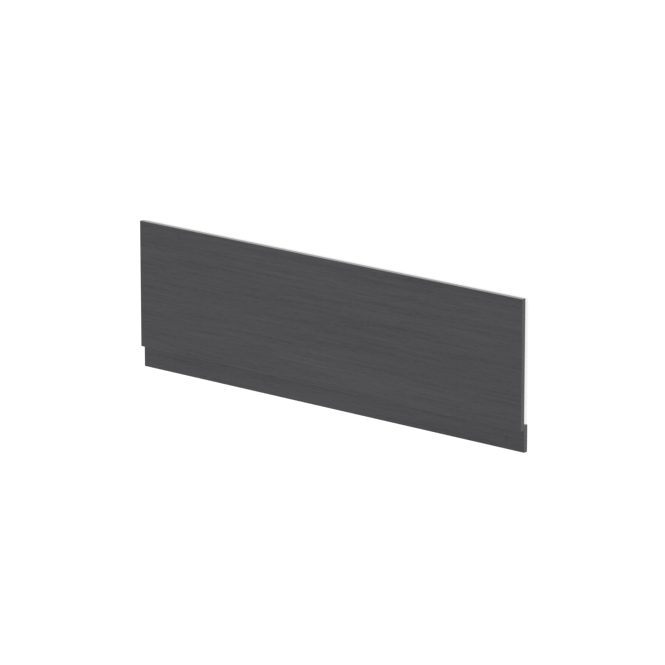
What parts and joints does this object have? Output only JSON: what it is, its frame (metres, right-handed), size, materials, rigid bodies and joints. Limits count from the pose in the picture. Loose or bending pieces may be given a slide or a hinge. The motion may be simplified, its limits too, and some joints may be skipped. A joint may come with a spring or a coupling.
{
  "type": "bath front panel",
  "caption": "Long flat front panel in dark grey woodgrain board with a set-back plinth board screwed behind its lower edge, to close the open side of a bath.",
  "frame": {"origin": "the middle of the bottom of the whole part's box, as it lies on its back on the floor", "axes": "+X along the boards, +Y from the plinth's foot to the panel's top edge, +Z out of the finished face"},
  "size_m": [1.7, 0.54, 0.036],
  "materials": {
    "panel_board": "satin dark grey woodgrain facing, with edging of the same decor",
    "plinth_board": "satin dark grey woodgrain facing, with edging of the same decor",
    "screw_zinc": "bright zinc plate"
  },
  "bodies": {
    "root": {"front_panel": "panel_board", "plinth": "plinth_board", "plinth_screw_1": "screw_zinc", "plinth_screw_2": "screw_zinc", "plinth_screw_3": "screw_zinc", "plinth_screw_4": "screw_zinc", "plinth_screw_5": "screw_zinc"}
  },
  "joints": []
}
